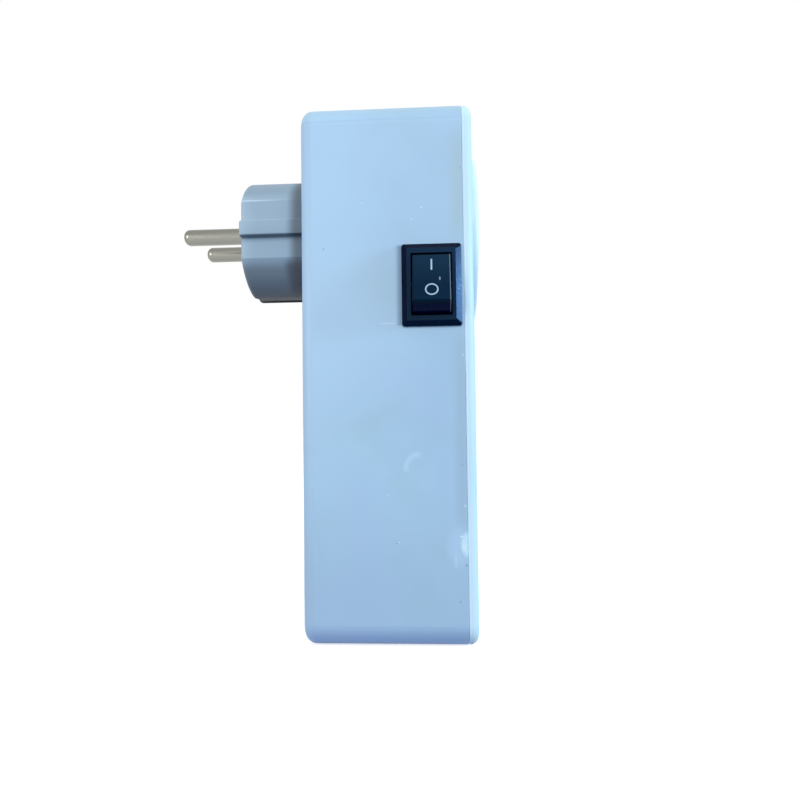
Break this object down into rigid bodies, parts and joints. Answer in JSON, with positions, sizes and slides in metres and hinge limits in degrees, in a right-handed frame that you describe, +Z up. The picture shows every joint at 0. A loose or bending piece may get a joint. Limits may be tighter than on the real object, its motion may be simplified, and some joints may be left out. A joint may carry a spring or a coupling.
{
  "type": "plug-through voltage protector",
  "caption": "Tall flat plug-in box with a round earthed plug on its back, a recessed round socket on its front and a rocker switch in one side; a relay cuts the supply.",
  "frame": {"origin": "centre of the box's bottom end face, which it stands on (middle of its width and of its depth without plug and socket collar)", "axes": "+Z up the box towards the socket end, +X out of the socket (the plug's pins point to -X), the rocker switch is on the -Y side"},
  "size_m": [0.0879, 0.0797, 0.139],
  "materials": {
    "housing": "moulded ABS, satin",
    "plug_plastic": "moulded grey thermoplastic",
    "pin_metal": "nickel-plated",
    "contact_metal": "rolled strip",
    "screw_steel": "zinc-plated",
    "inner_plastic": "heat-resistant moulding",
    "switch_black": "moulded nylon, satin",
    "board_green": "solder resist over glass fibre",
    "relay_blue": "moulded",
    "capacitor_yellow": "potted box",
    "capacitor_black": "sleeved can",
    "varistor_lacquer": "lacquered disc",
    "fuse_glass": "glass tube with nickelled caps",
    "chip_black": "moulded epoxy",
    "resistor_body": "lacquered",
    "lamp_green": "tinted epoxy",
    "lamp_yellow": "tinted epoxy",
    "lamp_red": "tinted epoxy",
    "wire_brown": "PVC insulation",
    "wire_blue": "PVC insulation",
    "wire_earth": "PVC insulation, green and yellow"
  },
  "bodies": {
    "case": {"rear_housing": "housing", "front_cover": "housing", "housing_screws": "screw_steel", "plug_body": "plug_plastic", "plug_pin_live": "pin_metal", "plug_pin_neutral": "pin_metal", "plug_earth_strap": "contact_metal", "plug_screws": "screw_steel", "socket_cup": "housing", "socket_base": "inner_plastic", "socket_base_screws": "screw_steel", "socket_contact_live": "contact_metal", "socket_contact_neutral": "contact_metal", "socket_earth_spring": "contact_metal", "switch_case": "switch_black", "switch_terminal_common": "contact_metal", "switch_terminal_load": "contact_metal", "circuit_board": "board_green", "board_screws": "screw_steel", "relay": "relay_blue", "film_capacitor": "capacitor_yellow", "electrolytic_capacitors": "capacitor_black", "varistor": "varistor_lacquer", "fuse": "fuse_glass", "control_chip": "chip_black", "resistors": "resistor_body", "diodes": "chip_black", "led_green": "lamp_green", "led_yellow": "lamp_yellow", "led_red": "lamp_red", "wire_plug_to_switch": "wire_brown", "wire_switch_to_board": "wire_brown", "wire_board_to_socket": "wire_brown", "wire_neutral_to_board": "wire_blue", "wire_neutral_to_socket": "wire_blue", "wire_earth": "wire_earth"},
    "rocker": {"switch_rocker": "switch_black", "switch_plunger": "inner_plastic", "switch_spring": "screw_steel"},
    "contact_blade": {"switch_contact_blade": "contact_metal"}
  },
  "joints": [
    {"name": "rocker_tilt", "type": "hinge", "parent": "case", "child": "rocker", "pos_m": [0.01139, -0.037, 0.091], "axis": [1, 0, 0], "range_deg": [0, 32]},
    {"name": "contact_tilt", "type": "hinge", "parent": "case", "child": "contact_blade", "pos_m": [0.01139, -0.02675, 0.091], "axis": [1, 0, 0], "range_deg": [-16, 0]}
  ],
  "couplings": [
    {"joint": "contact_tilt", "follows": "rocker_tilt", "ratio": -0.5}
  ]
}
